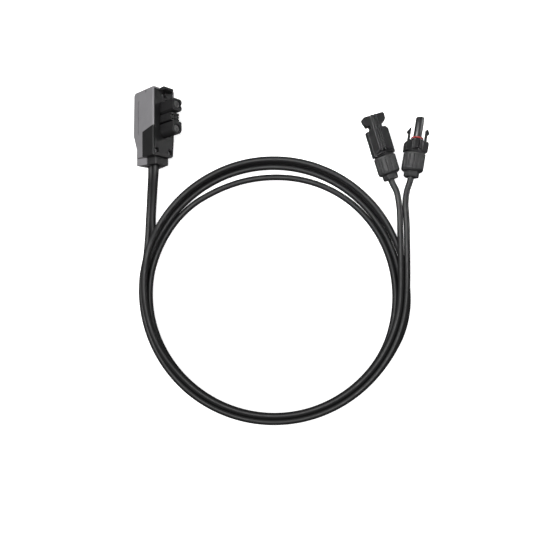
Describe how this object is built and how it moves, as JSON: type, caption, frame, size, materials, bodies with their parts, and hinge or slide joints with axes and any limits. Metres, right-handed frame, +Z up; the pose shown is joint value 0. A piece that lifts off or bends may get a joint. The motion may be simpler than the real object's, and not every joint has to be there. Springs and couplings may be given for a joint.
{
  "type": "micro inverter battery connecting lead",
  "caption": "Battery plug in a two-part housing on a coiled pair of solar cables that ends in a pair of latching solar connectors.",
  "frame": {"origin": "on the table, under the middle of the battery plug's bounding box", "axes": "+Z up from the table the lead lies on, +Y along the battery plug from its cable end to its latch end, +X towards the solar connectors"},
  "size_m": [0.2602, 0.293, 0.0428],
  "materials": {
    "grey_housing": "mid grey moulded plastic with a fine spark texture",
    "black_housing": "black moulded plastic with a fine texture",
    "connector_black": "black moulded plastic, slightly glossy on its ridges",
    "cable_jacket": "satin black cross-linked cable jacket",
    "black_rubber": "matt black rubber",
    "red_rubber": "satin red silicone rubber",
    "steel": "bright zinc-plated steel",
    "dark_steel": "blackened steel",
    "tinned_copper": "bright tin-plated copper",
    "board_green": "green circuit board"
  },
  "bodies": {
    "connecting_lead": {"rear_shell": "grey_housing", "front_shell": "black_housing", "upper_pole": "black_housing", "lower_pole": "black_housing", "signal_block": "black_housing", "upper_power_contact": "tinned_copper", "lower_power_contact": "tinned_copper", "id_board": "board_green", "housing_gasket": "black_rubber", "cable_clamp": "black_housing", "cable_grommet": "black_rubber", "latch_pin": "dark_steel", "latch_spring": "steel", "housing_screw_top": "steel", "housing_screw_left": "steel", "housing_screw_right": "steel", "clamp_screw_left": "steel", "clamp_screw_right": "steel", "shell_housing": "connector_black", "shell_contact": "tinned_copper", "shell_gland_seal": "black_rubber", "shell_clamp_cage": "black_housing", "probe_housing": "connector_black", "probe_contact": "tinned_copper", "probe_o_ring": "red_rubber", "probe_gland_seal": "black_rubber", "probe_clamp_cage": "black_housing", "positive_cable_lead": "cable_jacket", "negative_cable_lead": "cable_jacket", "positive_cable_coil": "cable_jacket", "negative_cable_coil": "cable_jacket", "positive_cable_tail": "cable_jacket", "negative_cable_tail": "cable_jacket"},
    "latch": {"latch_lever": "black_housing"},
    "shell_nut": {"shell_gland_nut": "connector_black"},
    "probe_nut": {"probe_gland_nut": "connector_black"},
    "arm_left": {"probe_latch_arm_left": "connector_black"},
    "arm_right": {"probe_latch_arm_right": "connector_black"}
  },
  "joints": [
    {"name": "latch_pivot", "type": "hinge", "parent": "connecting_lead", "child": "latch", "pos_m": [-0.00106, 0.02945, 0.02087], "axis": [-0.6691, 0, 0.7431], "range_deg": [0, 7], "stiffness_Nm_per_rad": 0.05, "springref_deg": -5.73},
    {"name": "shell_nut_turn", "type": "hinge", "parent": "connecting_lead", "child": "shell_nut", "pos_m": [0.20018, -0.02836, 0.0096], "axis": [-0.2907, 0.9568, 0], "continuous": true},
    {"name": "probe_nut_turn", "type": "hinge", "parent": "connecting_lead", "child": "probe_nut", "pos_m": [0.22394, -0.02619, 0.0096], "axis": [0.159, 0.9873, 0], "continuous": true},
    {"name": "left_arm_flex", "type": "hinge", "parent": "connecting_lead", "child": "arm_left", "pos_m": [0.219, -0.0097, 0.0096], "axis": [0, 0, -1], "range_deg": [0, 6], "stiffness_Nm_per_rad": 0.05},
    {"name": "right_arm_flex", "type": "hinge", "parent": "connecting_lead", "child": "arm_right", "pos_m": [0.23381, -0.01208, 0.0096], "axis": [0, 0, 1], "range_deg": [0, 6], "stiffness_Nm_per_rad": 0.05}
  ]
}
